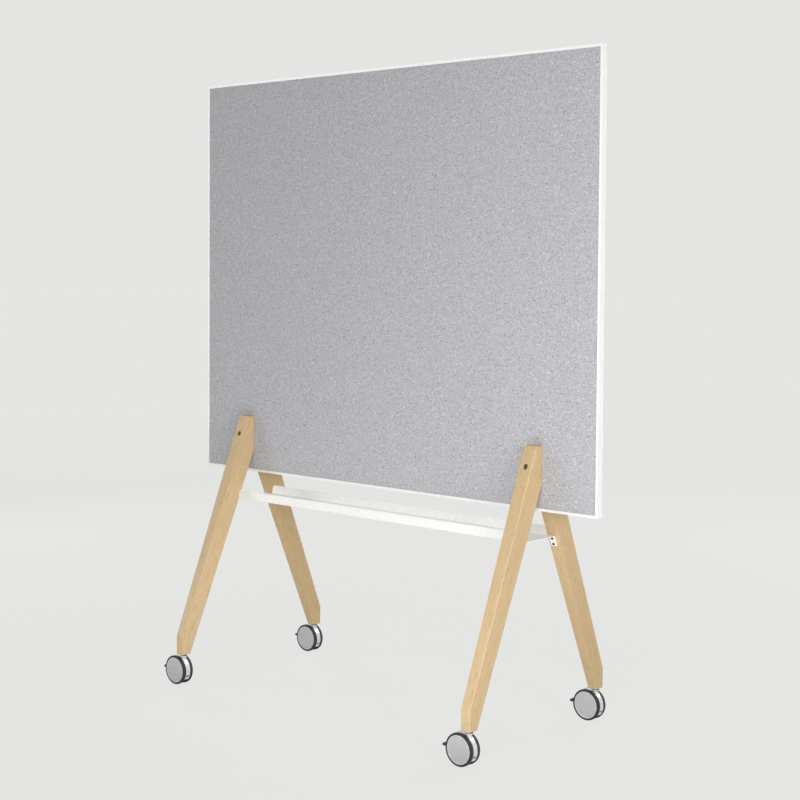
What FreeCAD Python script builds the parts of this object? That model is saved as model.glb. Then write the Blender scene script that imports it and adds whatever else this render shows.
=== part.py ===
import FreeCAD, Part
import math
import os

# A mobile display board: a felt-faced panel in a thin white frame, clamped between two
# inverted-V pairs of tapered oak legs, with a sheet-steel tray between the pairs and four
# braked twin-wheel casters. Millimetres, +Z up, front towards -Y, origin on the floor at
# the middle of the board.

# Panel
board_width = 1500.0
board_height = 1200.0
board_bottom = 619.0
core_thickness = 11.0
felt_thickness = 3.0
frame_wall = 1.5
frame_lip = 7.0
corner_angle_leg = 45.0
corner_angle_thickness = 2.5

# Legs: the side outline, and the width across the board, which tapers towards the foot
leg_spacing = 1106.0
leg_top_rise = 172.0
leg_top_depth = 24.5
leg_top_width = 42.0
leg_knee_rise = 65.0
leg_foot_reach = 291.0
leg_foot_depth = 31.0
leg_foot_width = 28.5
leg_bend_rise = 55.0
leg_edge_round = 3.0

# Through bolt of each pair of legs
bolt_rise = 119.0
bolt_radius = 4.0
bolt_head_radius = 6.5
bolt_head_height = 6.0
bolt_head_edge = 0.8
bolt_head_room = 1.1
bolt_recess_depth = 11.8
bolt_hole_clearance = 0.3
bolt_end_gap = 6.0
thread_clearance = 0.05
hex_key_radius = 3.4
hex_key_depth = 3.5
washer_lip = 0.7
washer_thickness = 1.2
nut_sleeve_wall = 1.2
nut_sleeve_gap = 9.0
board_sleeve_wall = 2.2

# Tray
sheet = 2.0
tray_drop = 77.0
tray_lip_past_leg = 2.3
tray_lip_height = 25.0
tray_lip_gap = 1.0
tray_lip_corner = 12.0
tray_bend = 3.0
tab_width = 19.0
tab_inset = 2.0
tab_corner = 4.0
screw_first = 7.0
screw_pitch = 17.0
screw_radius = 2.0
screw_length = 16.0
screw_head_radius = 3.4
screw_head_height = 1.8
screw_hole_clearance = 0.05

# Casters: wheels that roll along X, trailing towards -X of the stem
wheel_radius = 43.0
wheel_width = 10.0
caster_trail = 20.0
caster_head_height = 5.5
tyre_thickness = 6.0
tyre_edge_round = 2.0
tyre_groove_width = 1.4
tyre_groove_depth = 0.7
rim_thickness = 3.5
rim_set_back = 0.5
rim_ring_width = 3.0
rim_ring_bevel = 0.8
disc_recess = 0.8
disc_thickness = 2.8
hub_boss_radius = 9.0
hub_boss_gap = 0.4
hub_closing_wall = 3.2
running_clearance = 0.05
axle_radius = 4.0
axle_chamfer = 0.6
snap_rib_height = 0.4
snap_rib_half_width = 0.5
snap_rib_inset = 2.0
snap_groove_clearance = 0.1

# Stem, bush and socket of a caster
stud_radius = 5.0
stud_length = 20.0
collar_radius = 9.0
collar_height = 3.2
collar_gap = 0.3
journal_radius = 4.5
journal_length = 27.5
journal_end_gap = 0.8
bush_wall = 1.5
bush_flange_lip = 1.4
bush_flange_thickness = 1.0
socket_wall = 1.8
socket_length = 24.0

# Caster housing
housing_side_gap = 0.5
hood_set_back = 1.0
hood_wall = 2.5
hood_front_angle = -37.0
hood_rear_angle = 116.0
hood_slot_low_angle = -25.0
hood_slot_high_angle = -17.0
hood_slot_rim = 2.0
web_thickness = 5.0
web_front_angle = -6.0
web_rear_angle = 108.0
axle_boss_radius = 8.0
flange_radius = 11.5
flange_thickness = 1.8
stem_boss_wall = 1.5
stem_boss_floor = 3.5
fit_clearance = 0.02

# Brake lever
brake_pivot_radius = 25.5
brake_pivot_angle = 150.0
brake_pin_radius = 2.0
brake_pin_end_gap = 0.8
lug_wall = 3.0
fork_gap = 0.7
fork_rim = 1.0
fork_outer_gap = 0.6
shoe_gap = 2.65
shoe_depth = 4.5
shoe_front_angle = 126.0
shoe_rear_angle = 144.0
shoe_end_gap = 1.0
shoe_arm_width = 6.0
pedal_root_gap = 2.0
pedal_length = 31.0
pedal_height = 6.0
pedal_drop = 12.5
pedal_tip_round = 2.0
tread_rib_width = 1.2
tread_rib_height = 0.6
tread_rib_pitch = 3.2
tread_rib_count = 4

# Length by which cutting shapes run past what they cut
overrun = 5.0

x_axis = FreeCAD.Vector(1, 0, 0)
y_axis = FreeCAD.Vector(0, 1, 0)
z_axis = FreeCAD.Vector(0, 0, 1)
origin = FreeCAD.Vector(0, 0, 0)

# Panel places
half_core = core_thickness / 2
felt_face = half_core + felt_thickness
frame_face = felt_face + frame_wall
board_top = board_bottom + board_height

# Leg places
leg_x = leg_spacing / 2
leg_foot = 2 * wheel_radius + caster_head_height
leg_top = board_bottom + leg_top_rise
leg_knee = board_bottom + leg_knee_rise
leg_bend = leg_foot + leg_bend_rise
leg_top_outer = felt_face + leg_top_depth
leg_foot_inner = leg_foot_reach - leg_foot_depth
leg_taper = (leg_top_width - leg_foot_width) / (leg_top - leg_foot)
inner_lean = (leg_foot_inner - felt_face) / (leg_knee - leg_foot)
outer_lean = (leg_foot_reach - leg_top_outer) / (leg_top - leg_bend)

# Bolt places
bolt_height = board_bottom + bolt_rise
bolt_seat = leg_top_outer + (leg_top - bolt_height) * outer_lean - bolt_recess_depth
bolt_head_seat = bolt_seat + washer_thickness
bolt_hole_radius = bolt_radius + bolt_hole_clearance
nut_bore_radius = bolt_radius + thread_clearance
nut_sleeve_radius = nut_bore_radius + nut_sleeve_wall
nut_hole_radius = nut_sleeve_radius + bolt_hole_clearance
nut_sleeve_length = bolt_head_seat - felt_face - nut_sleeve_gap
board_sleeve_radius = bolt_hole_radius + board_sleeve_wall

# Tray places
tray_floor = board_bottom - tray_drop
tray_under = tray_floor - sheet
tray_lip_top = tray_floor + tray_lip_height
tray_lip_leg_width = leg_foot_width + (tray_lip_top - leg_foot) * leg_taper
tray_lip_end = leg_x - tray_lip_leg_width / 2 - tray_lip_gap
tray_leg_face = felt_face + (leg_knee - tray_floor) * inner_lean
tray_half_depth = tray_leg_face + tray_lip_past_leg
tongue_half_depth = tray_leg_face - sheet
tab_x = leg_x - tab_inset
tray_end = tab_x + tab_width / 2
tab_length = 2 * screw_first + screw_pitch

# Caster places
caster_y = leg_foot_reach - leg_foot_depth / 2
bush_radius = journal_radius + bush_wall
housing_half = bush_radius + fit_clearance + stem_boss_wall
wheel_inner = housing_half + housing_side_gap
wheel_outer = wheel_inner + wheel_width
rim_radius = wheel_radius - tyre_thickness
drum_radius = rim_radius - rim_thickness
disc_face = wheel_outer - disc_recess
axle_bore_end = disc_face - hub_closing_wall
snap_place = axle_bore_end - snap_rib_inset
hood_radius = wheel_radius - hood_set_back
collar_under = leg_foot - collar_height
flange_top = collar_under - collar_gap - bush_flange_thickness
stem_bore_floor = collar_under - journal_length - journal_end_gap
lug_radius = brake_pin_radius + lug_wall
fork_inner = web_thickness / 2 + fork_gap
fork_outer = wheel_inner - fork_outer_gap
fork_hub_radius = lug_radius + fork_rim
pedal_root_reach = fork_hub_radius + pedal_root_gap
shoe_outer_radius = drum_radius - shoe_gap

pieces = {}
corners = {
    "front_left": (-1, -1),
    "front_right": (1, -1),
    "rear_left": (-1, 1),
    "rear_right": (1, 1),
}


def at(x, y, z):
    return FreeCAD.Vector(x, y, z)


def block(low, high):
    size = high - low
    return Part.makeBox(size.x, size.y, size.z, low)


def rod(radius, start, end):
    run = end - start
    return Part.makeCylinder(radius, run.Length, start, run)


def tube(outer, inner, start, end):
    past = (end - start).normalize() * overrun
    return rod(outer, start, end).cut(rod(inner, start - past, end + past))


def prism(outline, push):
    return Part.Face(Part.makePolygon(outline + [outline[0]])).extrude(push)


def turned(outline, centre, axis):
    # Solid of revolution from (radius, distance along the axis) corners, about a Y or Z axis
    points = [centre + x_axis * radius + axis * along for radius, along in outline]
    return Part.Face(Part.makePolygon(points + [points[0]])).revolve(centre, axis, 360)


def fused(shapes):
    return shapes[0].multiFuse(shapes[1:]).removeSplitter()


def mirrored(shape, side_x, side_y):
    # The right rear shape, brought to the side given by the two signs
    if side_x < 0:
        shape = shape.mirror(origin, x_axis)
    if side_y < 0:
        shape = shape.mirror(origin, y_axis)
    return shape


def tab_lines():
    # Top edge of the right rear tray tab on the leg, the way down the leg and the way out of it
    top = at(tab_x, tray_leg_face, tray_floor)
    down = at(0, inner_lean, -1).normalize()
    inward = at(0, -1, -inner_lean).normalize()
    return top, down, inward


def screw_places():
    # Where the two screws of the right rear tab enter the leg
    top, down, inward = tab_lines()
    return [top + down * (screw_first + step * screw_pitch) for step in range(2)]


def make_corner_angles():
    # Flat angles in the channel of the frame, one in each corner of the panel
    reach_x = board_width / 2 - frame_wall
    low = board_bottom + frame_wall
    upright = block(at(reach_x - corner_angle_thickness, -half_core, low),
                    at(reach_x, half_core, low + corner_angle_leg))
    level = block(at(reach_x - corner_angle_leg, -half_core, low),
                  at(reach_x, half_core, low + corner_angle_thickness))
    angle = fused([upright, level])
    pair = [angle, mirrored(angle, -1, 1)]
    middle = at(0, 0, (board_bottom + board_top) / 2)
    return Part.makeCompound(pair + [shape.mirror(middle, z_axis) for shape in pair])


def make_board():
    reach_x = board_width / 2 - frame_wall
    low = board_bottom + frame_wall
    high = board_top - frame_wall
    angles = make_corner_angles()
    holes = []
    sleeves = []
    for side in (-1, 1):
        start = at(side * leg_x, -felt_face, bolt_height)
        end = at(side * leg_x, felt_face, bolt_height)
        past = y_axis * overrun
        holes.append(rod(board_sleeve_radius + fit_clearance, start - past, end + past))
        sleeves.append(tube(board_sleeve_radius, bolt_hole_radius, start, end))
    holes = Part.makeCompound(holes)
    core = block(at(-reach_x, -half_core, low), at(reach_x, half_core, high))
    felt = block(at(-reach_x, half_core, low), at(reach_x, felt_face, high)).cut(holes)
    pieces["board_core"] = core.cut(angles).cut(holes)
    pieces["felt_rear"] = felt
    pieces["felt_front"] = mirrored(felt, 1, -1)
    pieces["corner_angles"] = angles
    pieces["board_sleeves"] = Part.makeCompound(sleeves)


def make_frame():
    # One channel section round the panel, cut at the corners into four mitred lengths
    reach = board_width / 2
    outer = block(at(-reach, -frame_face, board_bottom), at(reach, frame_face, board_top))
    inner_reach = reach - frame_lip
    window = block(at(-inner_reach, -frame_face - overrun, board_bottom + frame_lip),
                   at(inner_reach, frame_face + overrun, board_top - frame_lip))
    wall_reach = reach - frame_wall
    channel = block(at(-wall_reach, -felt_face, board_bottom + frame_wall),
                    at(wall_reach, felt_face, board_top - frame_wall))
    ring = outer.cut(window).cut(channel)
    outside = [(-reach, board_bottom), (reach, board_bottom), (reach, board_top), (-reach, board_top)]
    inward = [(1, 1), (-1, 1), (-1, -1), (1, -1)]
    inside = [(x + sx * frame_lip, z + sz * frame_lip) for (x, z), (sx, sz) in zip(outside, inward)]
    for index, name in enumerate(("frame_bottom", "frame_right", "frame_top", "frame_left")):
        after = (index + 1) % len(outside)
        plan = [outside[index], outside[after], inside[after], inside[index]]
        mitre = prism([at(x, -frame_face, z) for x, z in plan], y_axis * (2 * frame_face))
        pieces[name] = ring.common(mitre)


def leg_blank():
    # The right rear leg before drilling: the side outline, narrowed towards the foot, edges eased
    side = [(felt_face, leg_top), (leg_top_outer, leg_top), (leg_foot_reach, leg_bend),
            (leg_foot_reach, leg_foot), (leg_foot_inner, leg_foot), (felt_face, leg_knee)]
    widest = max(leg_top_width, leg_foot_width)
    profile = prism([at(leg_x - widest / 2, y, z) for y, z in side], x_axis * widest)
    ends = [(leg_foot_width, leg_foot), (leg_top_width, leg_top)]
    front = [at(leg_x - width / 2, 0, z) for width, z in ends]
    front += [at(leg_x + width / 2, 0, z) for width, z in reversed(ends)]
    leg = profile.common(prism(front, y_axis * (leg_foot_reach + overrun)))
    crossing_share = 0.9
    eased = []
    for edge in leg.Edges:
        if abs(edge.tangentAt(edge.FirstParameter).dot(x_axis)) < crossing_share:
            eased.append(edge)
    return leg.makeFillet(leg_edge_round, eased)


def make_legs():
    blank = leg_blank()
    bolt_line = at(leg_x, 0, bolt_height)
    outside = bolt_line + y_axis * leg_foot_reach
    recess = rod(bolt_head_radius + bolt_head_room, bolt_line + y_axis * bolt_seat, outside)
    foot = at(leg_x, caster_y, leg_foot)
    socket_radius = stud_radius + thread_clearance + socket_wall
    socket = rod(socket_radius + fit_clearance, foot - z_axis * overrun, foot + z_axis * socket_length)
    top, down, inward = tab_lines()
    pilots = []
    for place in screw_places():
        end = place - inward * (screw_length - sheet + fit_clearance)
        pilots.append(rod(screw_radius + screw_hole_clearance, place + inward * overrun, end))
    blank = blank.cut(Part.makeCompound([recess, socket] + pilots))
    for name, (side_x, side_y) in corners.items():
        hole_radius = nut_hole_radius if side_y > 0 else bolt_hole_radius
        leg = blank.cut(rod(hole_radius, bolt_line, outside))
        pieces["leg_" + name] = mirrored(leg, side_x, side_y)


def bolt_head():
    # Round head with a hexagon socket, standing on the origin towards +Y
    top = bolt_head_height
    outline = [(0, 0), (bolt_head_radius, 0), (bolt_head_radius, top - bolt_head_edge),
               (bolt_head_radius - bolt_head_edge, top), (0, top)]
    head = turned(outline, origin, y_axis)
    hexagon = []
    for step in range(6):
        angle = math.radians(60 * step)
        x = hex_key_radius * math.cos(angle)
        z = hex_key_radius * math.sin(angle)
        hexagon.append(at(x, top - hex_key_depth, z))
    return head.cut(prism(hexagon, y_axis * (hex_key_depth + overrun)))


def make_leg_bolts():
    # Bolt from the front and sleeve nut from the rear, heads on washers in the recesses
    bolt_length = 2 * bolt_head_seat - bolt_end_gap
    bolt = fused([bolt_head(), rod(bolt_radius, y_axis * -bolt_length, origin)])
    nut = fused([bolt_head(), rod(nut_sleeve_radius, y_axis * -nut_sleeve_length, origin)])
    bore_start = y_axis * -(nut_sleeve_length + overrun)
    bore_end = y_axis * -(bolt_end_gap - fit_clearance)
    nut = nut.cut(rod(nut_bore_radius, bore_start, bore_end))
    washer_radius = bolt_head_radius + washer_lip
    front_washer = tube(washer_radius, bolt_hole_radius, y_axis * -washer_thickness, origin)
    rear_washer = tube(washer_radius, nut_hole_radius, y_axis * -washer_thickness, origin)
    bolts = []
    nuts = []
    washers = []
    for side in (-1, 1):
        place = at(side * leg_x, bolt_head_seat, bolt_height)
        nuts.append(nut.translated(place))
        washers.append(rear_washer.translated(place))
        bolts.append(mirrored(bolt.translated(place), 1, -1))
        washers.append(mirrored(front_washer.translated(place), 1, -1))
    pieces["leg_bolts"] = Part.makeCompound(bolts)
    pieces["leg_nuts"] = Part.makeCompound(nuts)
    pieces["leg_washers"] = Part.makeCompound(washers)


def trough_block(end, half_depth, low, high, bend):
    # A long block with its two lower long edges rounded, the outside or the inside of a folded trough
    shape = block(at(-end, -half_depth, low), at(end, half_depth, high))
    lower = [edge for edge in shape.Edges if edge.BoundBox.ZMax < low + fit_clearance]
    return shape.makeFillet(bend, [edge for edge in lower if edge.BoundBox.XLength > end])


def tray_trough():
    # The two lips and the floor between them, folded from one sheet, the ends of the lips rounded
    outside = trough_block(tray_lip_end, tray_half_depth, tray_under, tray_lip_top, tray_bend + sheet)
    inside = trough_block(tray_lip_end + overrun, tray_half_depth - sheet, tray_floor,
                          tray_lip_top + overrun, tray_bend)
    trough = outside.cut(inside)
    ends = [edge for edge in trough.Edges if edge.BoundBox.ZMin > tray_lip_top - fit_clearance]
    return trough.makeFillet(tray_lip_corner, [edge for edge in ends if edge.BoundBox.XLength < sheet])


def tray_tab():
    # The right rear ear of the tray floor, bent down flat on the inner face of the leg
    top, down, inward = tab_lines()
    bend_angle = math.pi / 2 - math.atan(inner_lean)
    inner_top = top + inward * sheet + down * (sheet * math.tan(bend_angle / 2))
    bottom = top + down * tab_length
    root = tongue_half_depth - sheet
    side = x_axis * (tab_width / 2)
    outline = [at(tab_x, root, tray_floor), top, bottom, bottom + inward * sheet, inner_top,
               at(tab_x, root, tray_under)]
    tab = prism([point - side for point in outline], side * 2)
    rounded = []
    for edge in tab.Edges:
        if (edge.CenterOfMass - at(edge.CenterOfMass.x, bottom.y, bottom.z)).Length < sheet:
            if abs(edge.tangentAt(edge.FirstParameter).dot(inward)) > math.sqrt(0.5):
                rounded.append(edge)
    tab = tab.makeFillet(tab_corner, rounded)
    past = inward * overrun
    holes = [rod(screw_radius + screw_hole_clearance, place - past, place + past) for place in screw_places()]
    return tab.cut(Part.makeCompound(holes))


def make_tray():
    # A trough from leg to leg, whose floor runs on between the legs of each pair to the four ears
    tongue = block(at(-tray_end, -tongue_half_depth, tray_under), at(tray_end, tongue_half_depth, tray_floor))
    shapes = [tray_trough(), tongue]
    tab = tray_tab()
    for side_x, side_y in corners.values():
        shapes.append(mirrored(tab, side_x, side_y))
    pieces["tray"] = fused(shapes)


def make_tray_screws():
    top, down, inward = tab_lines()
    screws = []
    for place in screw_places():
        seat = place + inward * sheet
        head = rod(screw_head_radius, seat, seat + inward * screw_head_height)
        screw = fused([head, rod(screw_radius, seat - inward * screw_length, seat)])
        for side_x, side_y in corners.values():
            screws.append(mirrored(screw, side_x, side_y))
    pieces["tray_screws"] = Part.makeCompound(screws)


def about_axle(radius, angle, y):
    # A point given by its distance from the axle and its angle up from +X
    turn = math.radians(angle)
    return at(radius * math.cos(turn) - caster_trail, y, radius * math.sin(turn) + wheel_radius)


def sector(inner, outer, start, end, low, high):
    # Part of a ring, or of a disc where inner is zero, about the axle, from low to high in Y
    middle = (start + end) / 2
    arc = Part.Arc(*[about_axle(outer, angle, low) for angle in (start, middle, end)])
    last = about_axle(outer, end, low)
    first = about_axle(outer, start, low)
    if inner > 0:
        back = Part.Arc(*[about_axle(inner, angle, low) for angle in (end, middle, start)])
        edges = [arc.toShape(), Part.makeLine(last, about_axle(inner, end, low)),
                 back.toShape(), Part.makeLine(about_axle(inner, start, low), first)]
    else:
        centre = about_axle(0, 0, low)
        edges = [arc.toShape(), Part.makeLine(last, centre), Part.makeLine(centre, first)]
    return Part.Face(Part.Wire(edges)).extrude(y_axis * (high - low))


def bar(start, end, width, low, high):
    # A flat bar between two points of the X-Z plane, from low to high in Y
    along = (end - start).normalize()
    across = at(-along.z, 0, along.x) * (width / 2)
    points = [start + across, end + across, end - across, start - across]
    return prism([at(point.x, low, point.z) for point in points], y_axis * (high - low))


def make_wheel():
    # Hub and tyre on the +Y side of the axle; the hollow of the hub takes the brake shoe
    axle = about_axle(0, 0, 0)
    bore = axle_radius + running_clearance
    boss_start = housing_half + hub_boss_gap
    disc_inner = disc_face - disc_thickness
    rim_start = wheel_inner + rim_set_back
    ring_inner = rim_radius - rim_ring_width
    hub = turned([
        (bore, boss_start), (hub_boss_radius, boss_start), (hub_boss_radius, disc_inner),
        (drum_radius, disc_inner), (drum_radius, rim_start), (rim_radius, rim_start),
        (rim_radius, wheel_outer), (ring_inner, wheel_outer), (ring_inner - rim_ring_bevel, disc_face),
        (0, disc_face), (0, axle_bore_end), (bore, axle_bore_end), (bore, snap_place + snap_rib_half_width),
        (bore - snap_rib_height, snap_place), (bore, snap_place - snap_rib_half_width)], axle, y_axis)
    edge = tyre_edge_round * (1 - math.sqrt(0.5))
    shoulder = wheel_radius - tyre_edge_round
    middle = (wheel_inner + wheel_outer) / 2
    half_groove = tyre_groove_width / 2
    tyre = turned([
        (rim_radius, wheel_inner), (shoulder, wheel_inner), (wheel_radius - edge, wheel_inner + edge),
        (wheel_radius, wheel_inner + tyre_edge_round), (wheel_radius, middle - half_groove),
        (wheel_radius - tyre_groove_depth, middle), (wheel_radius, middle + half_groove),
        (wheel_radius, wheel_outer - tyre_edge_round), (wheel_radius - edge, wheel_outer - edge),
        (shoulder, wheel_outer), (rim_radius, wheel_outer)], axle, y_axis)
    return hub, tyre


def make_axle():
    # Plain pin with a groove near each end, into which the hubs snap
    end = axle_bore_end - axle_chamfer
    half_groove = snap_rib_half_width + snap_groove_clearance
    groove_radius = axle_radius + running_clearance - snap_rib_height - snap_groove_clearance
    half = [(axle_radius, snap_place - half_groove), (groove_radius, snap_place),
            (axle_radius, snap_place + half_groove), (axle_radius, end - axle_chamfer),
            (axle_radius - axle_chamfer, end), (0, end)]
    other = [(radius, -along) for radius, along in reversed(half)]
    return turned(other + half, about_axle(0, 0, 0), y_axis)


def make_housing():
    # Hood between the wheels, slotted near its front end, with its web, bosses and brake lug
    half_web = web_thickness / 2
    width = y_axis * housing_half
    axle = about_axle(0, 0, 0)
    pivot = about_axle(brake_pivot_radius, brake_pivot_angle, 0)
    hood_inner = hood_radius - hood_wall
    hood = sector(hood_inner, hood_radius, hood_front_angle, hood_rear_angle, -housing_half, housing_half)
    half_slot = housing_half - hood_slot_rim
    slot = sector(hood_inner - overrun, hood_radius + overrun, hood_slot_low_angle, hood_slot_high_angle,
                  -half_slot, half_slot)
    web = sector(0, hood_radius - hood_wall / 2, web_front_angle, web_rear_angle, -half_web, half_web)
    boss = rod(axle_boss_radius, axle - width, axle + width)
    lug = rod(lug_radius, pivot - y_axis * half_web, pivot + y_axis * half_web)
    strut = bar(axle, pivot, 2 * lug_radius, -half_web, half_web)
    column = rod(housing_half, z_axis * (stem_bore_floor - stem_boss_floor), z_axis * flange_top)
    flange = rod(flange_radius, z_axis * (flange_top - flange_thickness), z_axis * flange_top)
    housing = fused([hood, web, boss, lug, strut, column, flange])
    past = y_axis * (housing_half + overrun)
    bore = rod(bush_radius + fit_clearance, z_axis * stem_bore_floor, z_axis * (flange_top + overrun))
    axle_hole = rod(axle_radius + fit_clearance, axle - past, axle + past)
    pin_hole = rod(brake_pin_radius + fit_clearance, pivot - past, pivot + past)
    return housing.cut(Part.makeCompound([bore, axle_hole, pin_hole, slot]))


def brake_pedal(root):
    # Tread plate from the fork outwards, with a rounded nose and ribs across the top
    tip = root - x_axis * pedal_length
    half_height = pedal_height / 2
    pedal = block(at(tip.x, -fork_outer, tip.z - half_height), at(root.x, fork_outer, root.z + half_height))
    nose = [edge for edge in pedal.Edges if edge.BoundBox.XMax < tip.x + fit_clearance]
    nose = [edge for edge in nose if edge.BoundBox.ZLength < fit_clearance]
    pedal = pedal.makeFillet(pedal_tip_round, nose)
    top = tip.z + half_height
    shapes = [pedal]
    for step in range(tread_rib_count):
        x = tip.x + pedal_tip_round + step * tread_rib_pitch
        shapes.append(block(at(x, -fork_outer, top - tread_rib_height),
                            at(x + tread_rib_width, fork_outer, top + tread_rib_height)))
    return fused(shapes)


def make_brake_lever():
    # A fork astride the web, a pedal at its outer end and a shoe reaching into each wheel
    pivot = about_axle(brake_pivot_radius, brake_pivot_angle, 0)
    shoe_end = disc_face - disc_thickness - shoe_end_gap
    shoe_middle = (shoe_front_angle + shoe_rear_angle) / 2
    shoe_centre = about_axle(shoe_outer_radius - shoe_depth / 2, shoe_middle, 0)
    root = pivot + at(-pedal_root_reach, 0, -pedal_drop)
    arm = [rod(fork_hub_radius, pivot + y_axis * fork_inner, pivot + y_axis * fork_outer),
           bar(pivot, shoe_centre, shoe_arm_width, fork_inner, fork_outer),
           bar(pivot, root, 2 * fork_hub_radius, fork_inner, fork_outer),
           sector(shoe_outer_radius - shoe_depth, shoe_outer_radius, shoe_front_angle, shoe_rear_angle,
                  fork_inner, shoe_end)]
    arm = fused(arm)
    lever = fused([arm, mirrored(arm, 1, -1), brake_pedal(root)])
    past = y_axis * (wheel_outer + overrun)
    return lever.cut(rod(brake_pin_radius + running_clearance, pivot - past, pivot + past))


def make_stem():
    # Threaded stud up into the leg, collar under the leg, journal down into the bush
    top = leg_foot + stud_length
    bottom = collar_under - journal_length
    return turned([(0, bottom), (journal_radius, bottom), (journal_radius, collar_under),
                   (collar_radius, collar_under), (collar_radius, leg_foot), (stud_radius, leg_foot),
                   (stud_radius, top), (0, top)], origin, z_axis)


def make_bush():
    inner = journal_radius + running_clearance
    flange = bush_radius + bush_flange_lip
    top = flange_top + bush_flange_thickness
    return turned([(inner, stem_bore_floor), (bush_radius, stem_bore_floor), (bush_radius, flange_top),
                   (flange, flange_top), (flange, top), (inner, top)], origin, z_axis)


def make_casters():
    foot = z_axis * leg_foot
    bore = stud_radius + thread_clearance
    socket = tube(bore + socket_wall, bore, foot, foot + z_axis * socket_length)
    stem = make_stem()
    hub, tyre = make_wheel()
    pivot = about_axle(brake_pivot_radius, brake_pivot_angle, 0)
    half_pin = y_axis * (wheel_inner - brake_pin_end_gap)
    parts = {
        "housing": make_housing(),
        "swivel_bush": make_bush(),
        "axle": make_axle(),
        "rear_hub": hub,
        "rear_tyre": tyre,
        "front_hub": mirrored(hub, 1, -1),
        "front_tyre": mirrored(tyre, 1, -1),
        "brake_lever": make_brake_lever(),
        "brake_pin": rod(brake_pin_radius, pivot - half_pin, pivot + half_pin),
    }
    stems = []
    sockets = []
    for name, (side_x, side_y) in corners.items():
        place = at(side_x * leg_x, side_y * caster_y, 0)
        stems.append(stem.translated(place))
        sockets.append(socket.translated(place))
        for part, shape in parts.items():
            pieces[name + "_caster_" + part] = shape.translated(place)
    pieces["caster_stems"] = Part.makeCompound(stems)
    pieces["caster_sockets"] = Part.makeCompound(sockets)


make_board()
make_frame()
make_legs()
make_leg_bolts()
make_tray()
make_tray_screws()
make_casters()

os.makedirs("parts", exist_ok=True)
for name, shape in pieces.items():
    shape.exportStep("parts/" + name + ".step")
    state = "valid" if shape.isValid() else "not valid"
    print(name, len(shape.Solids), "solids", round(shape.Volume), "mm3", state)
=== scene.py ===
import math
import bmesh
import bpy
from mathutils import Matrix, Vector


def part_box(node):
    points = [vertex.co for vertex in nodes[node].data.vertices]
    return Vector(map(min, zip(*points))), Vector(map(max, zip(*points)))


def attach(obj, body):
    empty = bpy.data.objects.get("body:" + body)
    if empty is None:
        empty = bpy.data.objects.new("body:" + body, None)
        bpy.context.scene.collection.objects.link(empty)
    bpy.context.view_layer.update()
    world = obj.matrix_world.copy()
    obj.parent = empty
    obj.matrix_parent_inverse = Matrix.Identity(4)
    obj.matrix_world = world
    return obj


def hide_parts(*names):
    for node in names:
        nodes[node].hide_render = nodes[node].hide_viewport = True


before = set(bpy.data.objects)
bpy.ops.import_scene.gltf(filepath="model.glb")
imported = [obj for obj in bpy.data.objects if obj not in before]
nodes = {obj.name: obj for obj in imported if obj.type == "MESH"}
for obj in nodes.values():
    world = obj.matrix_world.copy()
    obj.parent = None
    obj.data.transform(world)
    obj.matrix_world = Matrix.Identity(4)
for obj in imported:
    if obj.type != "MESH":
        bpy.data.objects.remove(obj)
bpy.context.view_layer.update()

scene = bpy.context.scene
corners = ("front_left", "front_right", "rear_left", "rear_right")
print("frame loaded:", len(nodes), "nodes")


# node tree helpers
def startMaterial(name):
    material = bpy.data.materials.new(name)
    material.use_nodes = True
    tree = material.node_tree
    tree.nodes.clear()
    output = tree.nodes.new("ShaderNodeOutputMaterial")
    shader = tree.nodes.new("ShaderNodeBsdfPrincipled")
    tree.links.new(shader.outputs["BSDF"], output.inputs["Surface"])
    return material, tree, shader


def feed(tree, socket, value):
    if isinstance(value, bpy.types.NodeSocket):
        tree.links.new(value, socket)
    else:
        socket.default_value = value


def coords(tree, kind="Object"):
    return tree.nodes.new("ShaderNodeTexCoord").outputs[kind]


def mapped(tree, vector, stretch=(1, 1, 1), turn=(0, 0, 0), move=(0, 0, 0)):
    node = tree.nodes.new("ShaderNodeMapping")
    tree.links.new(vector, node.inputs["Vector"])
    node.inputs["Scale"].default_value = stretch
    node.inputs["Rotation"].default_value = turn
    node.inputs["Location"].default_value = move
    return node.outputs["Vector"]


def noise(tree, vector, scale, detail, rough, twist=0.0, **placing):
    node = tree.nodes.new("ShaderNodeTexNoise")
    tree.links.new(mapped(tree, vector, **placing), node.inputs["Vector"])
    node.inputs["Scale"].default_value = scale
    node.inputs["Detail"].default_value = detail
    node.inputs["Roughness"].default_value = rough
    node.inputs["Distortion"].default_value = twist
    return node.outputs["Fac"]


def spread(tree, value, low, high, newLow=0.0, newHigh=1.0):
    node = tree.nodes.new("ShaderNodeMapRange")
    node.interpolation_type = "SMOOTHSTEP"
    tree.links.new(value, node.inputs["Value"])
    for name, number in zip(("From Min", "From Max", "To Min", "To Max"), (low, high, newLow, newHigh)):
        node.inputs[name].default_value = number
    return node.outputs["Result"]


def sums(tree, operation, first, second=0.0, third=0.0):
    node = tree.nodes.new("ShaderNodeMath")
    node.operation = operation
    for socket, value in zip(node.inputs, (first, second, third)):
        feed(tree, socket, value)
    return node.outputs[0]


def blendColour(tree, factor, first, second):
    node = tree.nodes.new("ShaderNodeMix")
    node.data_type = "RGBA"
    feed(tree, node.inputs[0], factor)
    feed(tree, node.inputs[6], first)      # 6 and 7 are the colours A and B
    feed(tree, node.inputs[7], second)
    return node.outputs[2]


def tinted(tree, colour, value, limits, tone):
    # limits: from where to where the tone comes in, and how far where that isn't 0 to 1
    return blendColour(tree, spread(tree, value, *limits), colour, tone)


def bumped(tree, shader, height, strength, depth):
    node = tree.nodes.new("ShaderNodeBump")
    tree.links.new(height, node.inputs["Height"])
    node.inputs["Strength"].default_value = strength
    node.inputs["Distance"].default_value = depth
    tree.links.new(node.outputs["Normal"], shader.inputs["Normal"])


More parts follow.
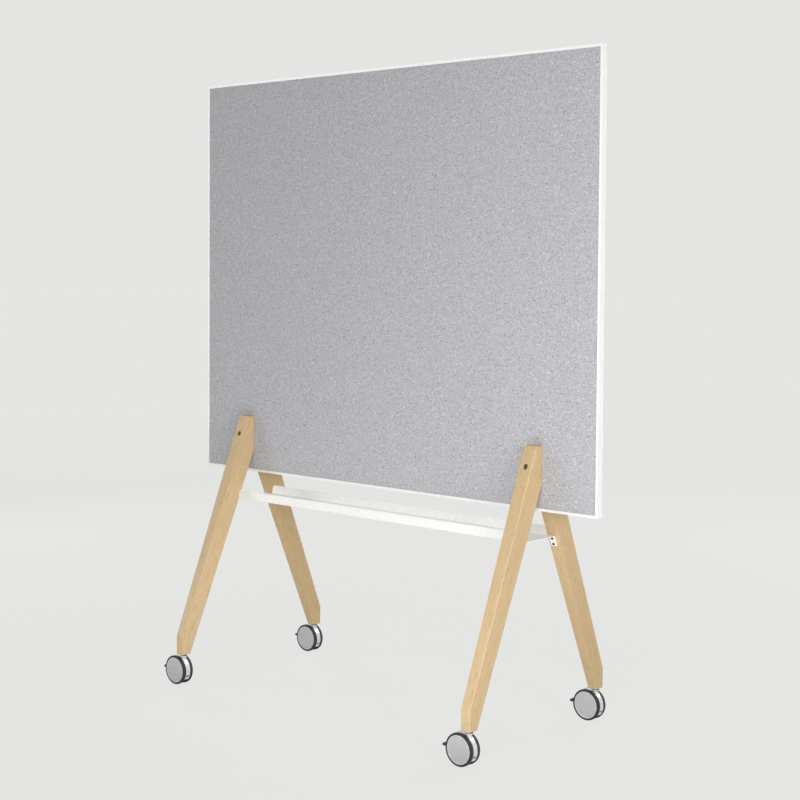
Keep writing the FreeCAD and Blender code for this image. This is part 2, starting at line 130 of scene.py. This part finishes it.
def ink(red, green, blue):
    # screen colour, 0 to 255, to the linear colour of a socket
    def linear(level):
        share = level / 255
        return share / 12.92 if share <= 0.04045 else ((share + 0.055) / 1.055) ** 2.4
    return (linear(red), linear(green), linear(blue), 1.0)


# felt of both faces
feltLook = {
    "middle": ink(185, 184, 188),
    "dark": ink(120, 120, 129),
    "pale": ink(224, 223, 226),
    "blue": ink(143, 152, 174),
    "darkWool": {"scale": 240.0, "detail": 4.0, "rough": 0.65, "twist": 0.5},
    "paleWool": {"scale": 270.0, "detail": 4.0, "rough": 0.65, "twist": 0.5, "move": (3.7, 1.9, 5.3)},
    "blueWool": {"scale": 300.0, "detail": 4.0, "rough": 0.65, "twist": 0.5, "move": (8.1, 4.3, 2.9)},
    "fibre": {"scale": 760.0, "detail": 2.0, "rough": 0.55, "twist": 1.6},
    "upright": {"stretch": (1, 1, 0.12), "turn": (0, 0.6, 0)},
    "level": {"stretch": (0.12, 1, 1), "turn": (0, -0.5, 0)},
    "paleLimits": (0.5, 0.7),
    "darkLimits": (0.5, 0.7),
    "blueLimits": (0.55, 0.72, 0.0, 0.8),
    "fibreLimits": (0.56, 0.72, 0.0, 0.5),
    "roughLimits": (0.4, 0.7, 0.86, 1.0),
    "sheen": 0.12,
    "sheenRough": 0.5,
    "specular": 0.2,
    "relief": (0.4, 0.001),      # strength and depth
}


def makeFelt(look):
    # flecks of dark, pale and bluish wool in a grey ground, crossed by single fibres
    material, tree, shader = startMaterial("grey_melange_felt")
    place = coords(tree)
    darkWool = noise(tree, place, **look["darkWool"])
    paleWool = noise(tree, place, **look["paleWool"])
    blueWool = noise(tree, place, **look["blueWool"])
    upright = noise(tree, place, **look["fibre"], **look["upright"])
    level = noise(tree, place, **look["fibre"], **look["level"])
    fibres = sums(tree, "MAXIMUM", upright, level)
    colour = tinted(tree, look["middle"], paleWool, look["paleLimits"], look["pale"])
    colour = tinted(tree, colour, darkWool, look["darkLimits"], look["dark"])
    colour = tinted(tree, colour, blueWool, look["blueLimits"], look["blue"])
    colour = tinted(tree, colour, fibres, look["fibreLimits"], look["pale"])
    tree.links.new(colour, shader.inputs["Base Color"])
    tree.links.new(spread(tree, fibres, *look["roughLimits"]), shader.inputs["Roughness"])
    shader.inputs["Sheen Weight"].default_value = look["sheen"]
    shader.inputs["Sheen Roughness"].default_value = look["sheenRough"]
    shader.inputs["Specular IOR Level"].default_value = look["specular"]
    bumped(tree, shader, sums(tree, "ADD", fibres, darkWool), *look["relief"])
    return material


# oak of the legs
oakLook = {
    "pale": ink(215, 188, 146),
    "warm": ink(206, 177, 133),
    "deep": ink(187, 154, 108),
    "pore": ink(153, 120, 81),
    "ray": ink(224, 200, 161),
    "lean": math.radians(22.0),          # of the grain, from upright
    "plankStep": (0.31, 0.17, 0.23),     # from one leg's place in the plank to the next
    "wander": {"scale": 1.0, "detail": 3.0, "rough": 0.55, "twist": 0.4, "stretch": (6, 6, 1.1)},
    "streak": {"scale": 260.0, "detail": 4.0, "rough": 0.62, "twist": 0.25, "stretch": (1, 1, 0.035)},
    "pores": {"scale": 420.0, "detail": 2.0, "rough": 0.5, "stretch": (1, 1, 0.05)},
    "fleck": {"scale": 240.0, "detail": 2.0, "rough": 0.55, "twist": 0.4},
    "fleckPlacing": {"stretch": (1, 1, 0.16), "move": (2.3, 0.7, 1.1)},
    "rays": {"scale": 160.0, "detail": 2.0, "rough": 0.5, "twist": 0.5},
    "rayPlacing": {"stretch": (1, 0.3, 0.22), "turn": (0.1, 0, 0)},
    "rings": {"Scale": 70.0, "Distortion": 5.0, "Detail": 3.0, "Detail Scale": 1.2},
    "ringPlacing": {"stretch": (1, 0.55, 0.05), "turn": (0, 0, 0.7)},
    "ringShare": 0.2,
    "wanderLimits": (0.3, 0.7),
    "streakLimits": (0.5, 0.78, 0.0, 0.6),
    "fleckLimits": (0.55, 0.7, 0.0, 0.55),
    "poreLimits": (0.64, 0.74, 0.0, 0.75),
    "rayLimits": (0.58, 0.74, 0.0, 0.3),
    "roughLimits": (0.3, 0.75, 0.42, 0.6),
    "sinkLimits": (0.62, 0.74, 0.0, 0.8),      # how far the pores sink below the streaks
    "relief": (0.22, 0.0005),
}


def makeOak(corner, look, plankPlace):
    # grain along the leg: Z of the turned coordinates runs down the lean
    material, tree, shader = startMaterial("oiled_oak_" + corner)
    lean = look["lean"] if corner.startswith("rear") else -look["lean"]
    plankMove = [plankPlace * step for step in look["plankStep"]]
    along = mapped(tree, coords(tree), turn=(-lean, 0, 0), move=plankMove)
    wander = noise(tree, along, **look["wander"])
    rings = tree.nodes.new("ShaderNodeTexWave")
    rings.wave_type = "BANDS"
    rings.bands_direction = "X"
    rings.wave_profile = "SAW"
    tree.links.new(mapped(tree, along, **look["ringPlacing"]), rings.inputs["Vector"])
    for socket, number in look["rings"].items():
        rings.inputs[socket].default_value = number
    ringShare = sums(tree, "MULTIPLY", rings.outputs["Fac"], look["ringShare"])
    streaks = noise(tree, along, **look["streak"])
    pores = noise(tree, along, **look["pores"])
    flecks = noise(tree, along, **look["fleck"], **look["fleckPlacing"])
    rays = noise(tree, along, **look["rays"], **look["rayPlacing"])
    colour = tinted(tree, look["pale"], wander, look["wanderLimits"], look["warm"])
    colour = blendColour(tree, ringShare, colour, look["deep"])
    colour = tinted(tree, colour, streaks, look["streakLimits"], look["deep"])
    colour = tinted(tree, colour, flecks, look["fleckLimits"], look["deep"])
    colour = tinted(tree, colour, pores, look["poreLimits"], look["pore"])
    colour = tinted(tree, colour, rays, look["rayLimits"], look["ray"])
    tree.links.new(colour, shader.inputs["Base Color"])
    tree.links.new(spread(tree, streaks, *look["roughLimits"]), shader.inputs["Roughness"])
    relief = sums(tree, "SUBTRACT", streaks, spread(tree, pores, *look["sinkLimits"]))
    bumped(tree, shader, relief, *look["relief"])
    return material


# even finishes: patches of a second tone, and a fine grain in gloss and relief
coatLook = {
    "main": ink(249, 249, 247),
    "other": ink(244, 244, 242),
    "patches": {"scale": 150.0, "detail": 4.0, "rough": 0.6},
    "patchLimits": (0.4, 0.7),
    "grain": {"scale": 620.0, "detail": 2.0, "rough": 0.5},      # orange peel
    "rough": (0.26, 0.36),
    "relief": (0.12, 0.0004),
    "metallic": 0.0,
}
steelBase = {
    "patches": {"scale": 120.0, "detail": 3.0, "rough": 0.6},
    "patchLimits": (0.35, 0.7),
    "grain": {"scale": 900.0, "detail": 3.0, "rough": 0.6},
    "relief": (0.08, 0.0002),
    "metallic": 1.0,
}
boltLook = {**steelBase, "main": ink(112, 112, 115), "other": ink(84, 84, 88), "rough": (0.25, 0.4)}
zincLook = {**steelBase, "main": ink(196, 198, 200), "other": ink(172, 175, 178), "rough": (0.28, 0.42)}
screwLook = {**steelBase, "main": ink(60, 60, 62), "other": ink(44, 44, 46), "rough": (0.35, 0.5)}
stemLook = {
    **steelBase,
    "main": ink(40, 40, 42),
    "other": ink(30, 30, 32),
    "rough": (0.5, 0.65),
    "metallic": 0.6,
}
hoodLook = {
    **steelBase,
    "main": ink(226, 227, 229),
    "other": ink(214, 215, 218),
    "grain": {"scale": 1600.0, "detail": 3.0, "rough": 0.6},
    "rough": (0.3, 0.4),
    "metallic": 0.35,
}
mouldedBase = {
    "patches": {"scale": 40.0, "detail": 3.0, "rough": 0.6},
    "patchLimits": (0.35, 0.68),
    "metallic": 0.0,
}
coreLook = {
    **mouldedBase,
    "main": ink(176, 150, 116),
    "other": ink(160, 134, 102),
    "grain": {"scale": 700.0, "detail": 3.0, "rough": 0.55},
    "rough": (0.7, 0.9),
    "relief": (0.4, 0.0003),
}
pedalLook = {
    **mouldedBase,
    "main": ink(28, 28, 29),
    "other": ink(38, 38, 39),
    "grain": {"scale": 1400.0, "detail": 3.0, "rough": 0.55},
    "rough": (0.42, 0.6),
    "relief": (0.2, 0.0003),
}
bushLook = {
    **mouldedBase,
    "main": ink(228, 226, 220),
    "other": ink(216, 214, 208),
    "grain": {"scale": 900.0, "detail": 3.0, "rough": 0.55},
    "rough": (0.4, 0.5),
    "relief": (0.1, 0.0003),
}
grainLimits = (0.3, 0.7)      # the part of a grain's range over which the roughness changes


def startEven(name, look):
    material, tree, shader = startMaterial(name)
    place = coords(tree)
    grain = noise(tree, place, **look["grain"])
    patches = noise(tree, place, **look["patches"])
    colour = tinted(tree, look["main"], patches, look["patchLimits"], look["other"])
    tree.links.new(spread(tree, grain, *grainLimits, *look["rough"]), shader.inputs["Roughness"])
    shader.inputs["Metallic"].default_value = look["metallic"]
    bumped(tree, shader, grain, *look["relief"])
    return material, tree, shader, colour


def makeEven(name, look):
    material, tree, shader, colour = startEven(name, look)
    tree.links.new(colour, shader.inputs["Base Color"])
    return material


# wheels: a disc with a painted highlight as a paler ring at its rim, and a tyre with a painted highlight as
# a paler line round the middle of its tread
discLook = {
    "main": ink(197, 197, 198),
    "other": ink(192, 192, 194),
    # painted highlight: the paler ring stands for light caught on the rim's edge
    "ring": ink(220, 220, 221),
    "ringLimits": (0.955, 0.967),      # shares of the disc's radius
    "patches": {"scale": 60.0, "detail": 3.0, "rough": 0.6},
    "patchLimits": (0.35, 0.68),
    "grain": {"scale": 1500.0, "detail": 2.0, "rough": 0.5},
    "rough": (0.38, 0.5),
    "relief": (0.12, 0.0002),
    "metallic": 0.0,
}
tyreLook = {
    "main": ink(27, 27, 29),
    "other": ink(43, 43, 45),      # dust
    # painted highlight: a paler line round the middle of the tread, where light catches it
    "line": ink(104, 104, 106),
    "treadHighlightLimits": (0.13, 0.08),      # shares of the tyre's width, from its middle
    "treadLimits": (0.985, 0.995, 0.0, 0.5),      # shares of its radius, and the line's strength
    "patches": {"scale": 90.0, "detail": 4.0, "rough": 0.6},
    "patchLimits": (0.42, 0.75),
    "grain": {"scale": 1100.0, "detail": 3.0, "rough": 0.6},
    "rough": (0.55, 0.75),
    "relief": (0.25, 0.0003),
    "metallic": 0.0,
}


def wheelShares(tree):
    # from a wheel piece's own box: 0 at the axle to 1 at the outside, and 0 to 1 along the axle
    split = tree.nodes.new("ShaderNodeSeparateXYZ")
    tree.links.new(coords(tree, "Generated"), split.inputs[0])
    squares = []
    for axis in ("X", "Z"):
        offCentre = sums(tree, "MULTIPLY_ADD", split.outputs[axis], 2.0, -1.0)
        squares.append(sums(tree, "MULTIPLY", offCentre, offCentre))
    return sums(tree, "SQRT", sums(tree, "ADD", *squares)), split.outputs["Y"]


def makeDisc(look):
    material, tree, shader, colour = startEven("grey_wheel_disc", look)
    reach = wheelShares(tree)[0]
    # painted highlight: a paler ring at the disc's rim
    colour = tinted(tree, colour, reach, look["ringLimits"], look["ring"])
    tree.links.new(colour, shader.inputs["Base Color"])
    return material


def makeTyre(look):
    material, tree, shader, colour = startEven("black_tyre_rubber", look)
    reach, across = wheelShares(tree)
    # painted highlight: a paler line round the middle of the tread
    offMiddle = sums(tree, "ABSOLUTE", sums(tree, "SUBTRACT", across, 0.5))
    tread = spread(tree, reach, *look["treadLimits"])
    treadHighlightShare = sums(tree, "MULTIPLY", spread(tree, offMiddle, *look["treadHighlightLimits"]), tread)
    tree.links.new(blendColour(tree, treadHighlightShare, colour, look["line"]), shader.inputs["Base Color"])
    return material


feltFinish = makeFelt(feltLook)
frameCoat = makeEven("white_frame_coat", coatLook)
trayCoat = makeEven("white_tray_coat", coatLook)
coreFinish = makeEven("panel_core_board", coreLook)
boltFinish = makeEven("dark_bolt_steel", boltLook)
zincFinish = makeEven("zinc_plated_steel", zincLook)
screwFinish = makeEven("black_screw_steel", screwLook)
stemFinish = makeEven("dark_stem_steel", stemLook)
hoodFinish = makeEven("silver_hood_paint", hoodLook)
pedalFinish = makeEven("black_pedal_plastic", pedalLook)
bushFinish = makeEven("white_bush_plastic", bushLook)
discFinish = makeDisc(discLook)
tyreFinish = makeTyre(tyreLook)
oakFinishes = {corner: makeOak(corner, oakLook, place) for place, corner in enumerate(corners, 1)}
print("finishes made:", len(bpy.data.materials))


# finishes of the pieces that keep their shape
def dress(node, material):
    node.data.materials.clear()
    node.data.materials.append(material)


standFinishes = {
    "board_core": coreFinish,
    "frame_top": frameCoat,
    "frame_bottom": frameCoat,
    "frame_left": frameCoat,
    "frame_right": frameCoat,
    "corner_angles": zincFinish,
    "board_sleeves": zincFinish,
    "leg_bolts": boltFinish,
    "leg_nuts": boltFinish,
    "leg_washers": zincFinish,
    "tray": trayCoat,
    "tray_screws": screwFinish,
    "caster_stems": stemFinish,
    "caster_sockets": zincFinish,
}
casterFinishes = {
    "housing": hoodFinish,
    "swivel_bush": bushFinish,
    "axle": zincFinish,
    "brake_pin": zincFinish,
    "front_hub": discFinish,
    "rear_hub": discFinish,
    "front_tyre": tyreFinish,
    "rear_tyre": tyreFinish,
    "brake_lever": pedalFinish,
}
for name, material in standFinishes.items():
    dress(nodes[name], material)
for corner in corners:
    dress(nodes["leg_" + corner], oakFinishes[corner])
    for part, material in casterFinishes.items():
        dress(nodes[corner + "_caster_" + part], material)
print("frame pieces dressed")


# felt faces: one stretched sheet each, tucked under the lips of the edge frame
feltSheet = {
    "cell": 0.012,           # size of a mesh square
    "crown": 0.0005,         # how far the felt swells past the lip's inner face
    "edgeRun": 0.014,        # run over which the swell dies away at the lip
    "legRun": 0.010,         # and beside a leg, which presses it flat
    "lip": 0.007,            # width of the felt's edge under the lip
}


def easeIn(share):
    share = min(1.0, max(0.0, share))
    return share * share * (3.0 - 2.0 * share)


def addGrid(mesh, points, flipped):
    # rows of points, joined by squares
    grid = [[mesh.verts.new(point) for point in line] for line in points]
    for lower, upper in zip(grid, grid[1:]):
        for column in range(len(lower) - 1):
            square = [lower[column], lower[column + 1], upper[column + 1], upper[column]]
            mesh.faces.new(square[::-1] if flipped else square)
    return grid


def addRim(mesh, outer, inner):
    # the sheet's thickness, all the way round
    rows = len(outer) - 1
    columns = len(outer[0]) - 1
    rim = [(0, column) for column in range(columns)]
    rim += [(row, columns) for row in range(rows)]
    rim += [(rows, column) for column in range(columns, 0, -1)]
    rim += [(row, 0) for row in range(rows, 0, -1)]
    for (row, column), (nextRow, nextColumn) in zip(rim, rim[1:] + rim[:1]):
        start = [outer[row][column], inner[row][column]]
        end = [inner[nextRow][nextColumn], outer[nextRow][nextColumn]]
        mesh.faces.new(start + end)


def makeFeltFace(name, node, body, side, look):
    # side is -1 for the front face and 1 for the rear one
    low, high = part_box(node)
    face = high.y if side > 0 else low.y
    back = low.y if side > 0 else high.y
    half = "rear" if side > 0 else "front"
    legs = [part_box("leg_" + corner) for corner in corners if corner.startswith(half)]
    columns = round((high.x - low.x) / look["cell"])
    rows = round((high.z - low.z) / look["cell"])
    across = [low.x + (high.x - low.x) * column / columns for column in range(columns + 1)]
    upward = [low.z + (high.z - low.z) * row / rows for row in range(rows + 1)]

    def swell(x, z):
        inside = min(x - low.x, high.x - x, z - low.z, high.z - z) - look["lip"]
        share = easeIn(inside / look["edgeRun"])
        for legLow, legHigh in legs:
            beside = max(legLow.x - x, x - legHigh.x, z - legHigh.z)
            share *= easeIn(beside / look["legRun"])
        return face + side * look["crown"] * share

    mesh = bmesh.new()
    outer = addGrid(mesh, [[(x, swell(x, z), z) for x in across] for z in upward], side > 0)
    inner = addGrid(mesh, [[(x, back, z) for x in across] for z in upward], side < 0)
    addRim(mesh, outer, inner)
    bmesh.ops.recalc_face_normals(mesh, faces=mesh.faces)
    data = bpy.data.meshes.new(name)
    mesh.to_mesh(data)
    mesh.free()
    data.materials.append(feltFinish)
    data.shade_smooth()
    piece = bpy.data.objects.new(name, data)
    scene.collection.objects.link(piece)
    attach(piece, body)
    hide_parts(node)


makeFeltFace("felt_face_front", "felt_front", "stand", -1, feltSheet)
makeFeltFace("felt_face_rear", "felt_rear", "stand", 1, feltSheet)
print("felt faces stretched")


# floor, world and lamps
stageLook = {
    "backdrop": ink(228, 229, 227),
    "worldStrength": 0.06,      # of the world as a light; where it is seen it has the backdrop's full colour
    "floorReach": 60.0,
    "floorRough": 0.9,
    "floorSpecular": 0.1,
    "shadowShare": 0.07,        # how much of the lit floor shows through its even backdrop colour
    "litReach": (1.0, 9.0),     # from where to where the lamps' light on the floor dies away
    "litDim": 0.055,            # and what the floor's own glow gives up for it
}


def seenRays(tree):
    # 1 for camera, mirror and glass rays, 0 for the rays that light the object
    path = tree.nodes.new("ShaderNodeLightPath")
    seen = sums(tree, "MAXIMUM", path.outputs["Is Camera Ray"], path.outputs["Is Glossy Ray"])
    return sums(tree, "MAXIMUM", seen, path.outputs["Is Transmission Ray"])


def makeFloorFinish(look):
    material, tree, shader = startMaterial("pale_floor")
    shader.inputs["Base Color"].default_value = look["backdrop"]
    shader.inputs["Roughness"].default_value = look["floorRough"]
    shader.inputs["Specular IOR Level"].default_value = look["floorSpecular"]
    glow = tree.nodes.new("ShaderNodeEmission")
    glow.inputs["Color"].default_value = look["backdrop"]
    # as bright as makes the far floor, lit by the world alone, the same as the backdrop
    litShare = look["shadowShare"] * look["worldStrength"] * look["backdrop"][1]
    evenStrength = (1.0 - litShare) / (1.0 - look["shadowShare"])
    away = tree.nodes.new("ShaderNodeVectorMath")
    away.operation = "LENGTH"
    tree.links.new(coords(tree), away.inputs[0])
    nearDim = spread(tree, away.outputs["Value"], *look["litReach"], look["litDim"], 0.0)
    tree.links.new(sums(tree, "SUBTRACT", evenStrength, nearDim), glow.inputs["Strength"])
    mixer = tree.nodes.new("ShaderNodeMixShader")
    evenShare = sums(tree, "MULTIPLY", seenRays(tree), 1.0 - look["shadowShare"])
    tree.links.new(evenShare, mixer.inputs["Fac"])
    tree.links.new(shader.outputs["BSDF"], mixer.inputs[1])
    tree.links.new(glow.outputs["Emission"], mixer.inputs[2])
    tree.links.new(mixer.outputs[0], tree.nodes["Material Output"].inputs["Surface"])
    return material


def makeFloor(look):
    reach = look["floorReach"]
    outline = [(-reach, -reach, 0), (reach, -reach, 0), (reach, reach, 0), (-reach, reach, 0)]
    data = bpy.data.meshes.new("floor")
    data.from_pydata(outline, [], [(0, 1, 2, 3)])
    data.materials.append(makeFloorFinish(look))
    floor = bpy.data.objects.new("floor", data)
    scene.collection.objects.link(floor)


def makeWorld(look):
    world = bpy.data.worlds.new("studio")
    world.use_nodes = True
    scene.world = world
    tree = world.node_tree
    sky = tree.nodes["Background"]
    sky.inputs["Color"].default_value = look["backdrop"]
    unseen = look["worldStrength"]
    strength = sums(tree, "MULTIPLY_ADD", seenRays(tree), 1.0 - unseen, unseen)
    tree.links.new(strength, sky.inputs["Strength"])


# the two strips stand where the camera sees them mirrored in the white lips, at the left and the top
lamps = {
    "rightHigh": {"place": (3.4, -0.9, 1.5), "aim": (0.5, 0.0, 0.9), "size": (1.6, 1.6), "watts": 45.0},
    "cameraTop": {"place": (1.8, -3.0, 3.2), "aim": (0.2, 0.0, 0.8), "size": (1.6, 1.2), "watts": 18.0},
    "cameraHigh": {"place": (1.6, -3.4, 2.0), "aim": (0.1, 0.0, 0.8), "size": (1.6, 1.2), "watts": 24.5},
    "leftStrip": {"place": (-3.7, -2.6, 1.2), "aim": (-0.75, 0.0, 1.2), "size": (0.7, 2.2), "watts": 27.0},
    "topStrip": {"place": (-2.8, -2.8, 2.35), "aim": (0.0, 0.0, 1.7), "size": (1.8, 0.6), "watts": 18.0},
    "nearRight": {"place": (1.6, -1.7, 1.05), "aim": (0.3, 0.0, 0.8), "size": (0.8, 0.5), "watts": 10.0},
    "floorBounce": {"place": (0.4, -0.9, 0.02), "aim": (0.4, -0.89, 3.0), "size": (2.0, 0.9), "watts": 6.6},
    "rearFill": {"place": (0.5, 4.0, 2.8), "aim": (0.0, 0.0, 0.8), "size": (3.0, 2.0), "watts": 135.0},
    "leftFill": {"place": (-3.6, 0.9, 1.8), "aim": (-0.5, 0.0, 0.9), "size": (1.6, 1.6), "watts": 42.0},
}


def makeLamp(name, look):
    data = bpy.data.lights.new(name, "AREA")
    data.shape = "RECTANGLE"
    data.size, data.size_y = look["size"]
    data.energy = look["watts"]
    lamp = bpy.data.objects.new(name, data)
    lamp.location = look["place"]
    beam = Vector(look["aim"]) - Vector(look["place"])
    lamp.rotation_euler = beam.to_track_quat("-Z", "Y").to_euler()
    lamp.visible_camera = False
    scene.collection.objects.link(lamp)


makeFloor(stageLook)
makeWorld(stageLook)
for name, look in lamps.items():
    makeLamp(name, look)
print("stage and lamps set")


# camera at the photograph's angle
cameraLook = {
    "place": (2.9919, -3.2552, 1.2653),
    "azimuth": math.radians(42.679),
    "pitch": math.radians(2.476),
    "roll": math.radians(0.329),
    "sensor": 36.0,
    "lens": 69.68,
    "shift": (0.0237, -0.0875),
    "clipEnd": 200.0,
}


def makeCamera(look):
    azimuth = look["azimuth"]
    pitch = look["pitch"]
    roll = look["roll"]
    ahead = Vector((
        -math.sin(azimuth) * math.cos(pitch),
        math.cos(azimuth) * math.cos(pitch),
        -math.sin(pitch),
    ))
    right = Vector((math.cos(azimuth), math.sin(azimuth), 0.0))
    upward = right.cross(ahead)
    turnedRight = right * math.cos(roll) + upward * math.sin(roll)
    turnedUp = upward * math.cos(roll) - right * math.sin(roll)
    data = bpy.data.cameras.new("photo_camera")
    data.sensor_width = look["sensor"]
    data.lens = look["lens"]
    data.shift_x, data.shift_y = look["shift"]
    data.clip_end = look["clipEnd"]
    camera = bpy.data.objects.new("photo_camera", data)
    facing = Matrix((turnedRight, turnedUp, -ahead)).transposed().to_4x4()
    camera.matrix_world = Matrix.Translation(look["place"]) @ facing
    scene.collection.objects.link(camera)
    scene.camera = camera


makeCamera(cameraLook)
scene.view_settings.view_transform = "Standard"
print("camera set")
